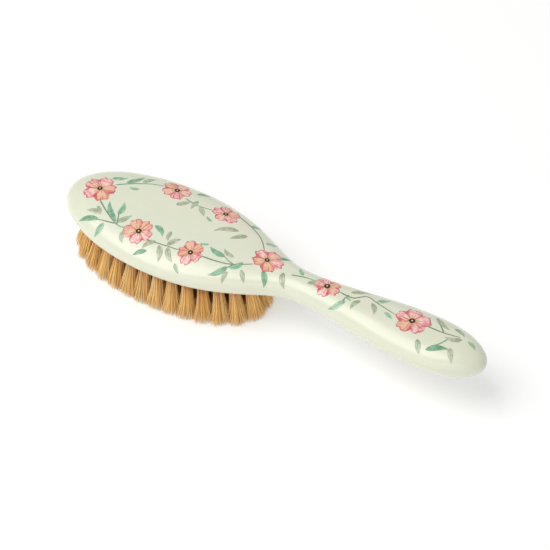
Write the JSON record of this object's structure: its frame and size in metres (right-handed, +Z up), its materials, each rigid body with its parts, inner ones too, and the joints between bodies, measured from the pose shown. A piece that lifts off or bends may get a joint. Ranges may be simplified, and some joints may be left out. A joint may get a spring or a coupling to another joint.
{
  "type": "vanity hairbrush",
  "caption": "Small one-piece wooden hairbrush with an oval head, slim waist and rounded grip, natural-bristle tufts set in blind holes and painted flower sprays on cream lacquer.",
  "frame": {"origin": "on the plane of the trimmed bristle tips, under the middle of the brush's length and width", "axes": "+X along the brush from the head's nose towards the grip's end, +Y across the head, +Z up from the bristle tips to the painted back"},
  "size_m": [0.175, 0.043, 0.0288],
  "materials": {
    "cream_lacquered_wood": "satin",
    "natural_bristle": "matte",
    "anchor_wire": "satin",
    "pink_paint": "satin",
    "green_paint": "satin",
    "brown_paint": "satin"
  },
  "bodies": {
    "root": {"wooden_body": "cream_lacquered_wood", "outer_tuft_1": "natural_bristle", "outer_tuft_2": "natural_bristle", "outer_tuft_3": "natural_bristle", "outer_tuft_4": "natural_bristle", "outer_tuft_5": "natural_bristle", "outer_tuft_6": "natural_bristle", "outer_tuft_7": "natural_bristle", "outer_tuft_8": "natural_bristle", "outer_tuft_9": "natural_bristle", "outer_tuft_10": "natural_bristle", "outer_tuft_11": "natural_bristle", "outer_tuft_12": "natural_bristle", "outer_tuft_13": "natural_bristle", "outer_tuft_14": "natural_bristle", "outer_tuft_15": "natural_bristle", "outer_tuft_16": "natural_bristle", "outer_tuft_17": "natural_bristle", "outer_tuft_18": "natural_bristle", "outer_tuft_19": "natural_bristle", "outer_tuft_20": "natural_bristle", "outer_tuft_21": "natural_bristle", "outer_tuft_22": "natural_bristle", "outer_tuft_23": "natural_bristle", "outer_tuft_24": "natural_bristle", "outer_tuft_25": "natural_bristle", "outer_tuft_26": "natural_bristle", "outer_tuft_27": "natural_bristle", "outer_tuft_28": "natural_bristle", "inner_tuft_1": "natural_bristle", "inner_tuft_2": "natural_bristle", "inner_tuft_3": "natural_bristle", "inner_tuft_4": "natural_bristle", "inner_tuft_5": "natural_bristle", "inner_tuft_6": "natural_bristle", "inner_tuft_7": "natural_bristle", "inner_tuft_8": "natural_bristle", "inner_tuft_9": "natural_bristle", "inner_tuft_10": "natural_bristle", "inner_tuft_11": "natural_bristle", "inner_tuft_12": "natural_bristle", "inner_tuft_13": "natural_bristle", "inner_tuft_14": "natural_bristle", "inner_tuft_15": "natural_bristle", "inner_tuft_16": "natural_bristle", "inner_tuft_17": "natural_bristle", "inner_tuft_18": "natural_bristle", "inner_tuft_19": "natural_bristle", "inner_tuft_20": "natural_bristle", "inner_tuft_21": "natural_bristle", "inner_tuft_22": "natural_bristle", "middle_tuft_1": "natural_bristle", "middle_tuft_2": "natural_bristle", "middle_tuft_3": "natural_bristle", "middle_tuft_4": "natural_bristle", "middle_tuft_5": "natural_bristle", "middle_tuft_6": "natural_bristle", "middle_tuft_7": "natural_bristle", "middle_tuft_8": "natural_bristle", "middle_tuft_9": "natural_bristle"}
  },
  "joints": []
}
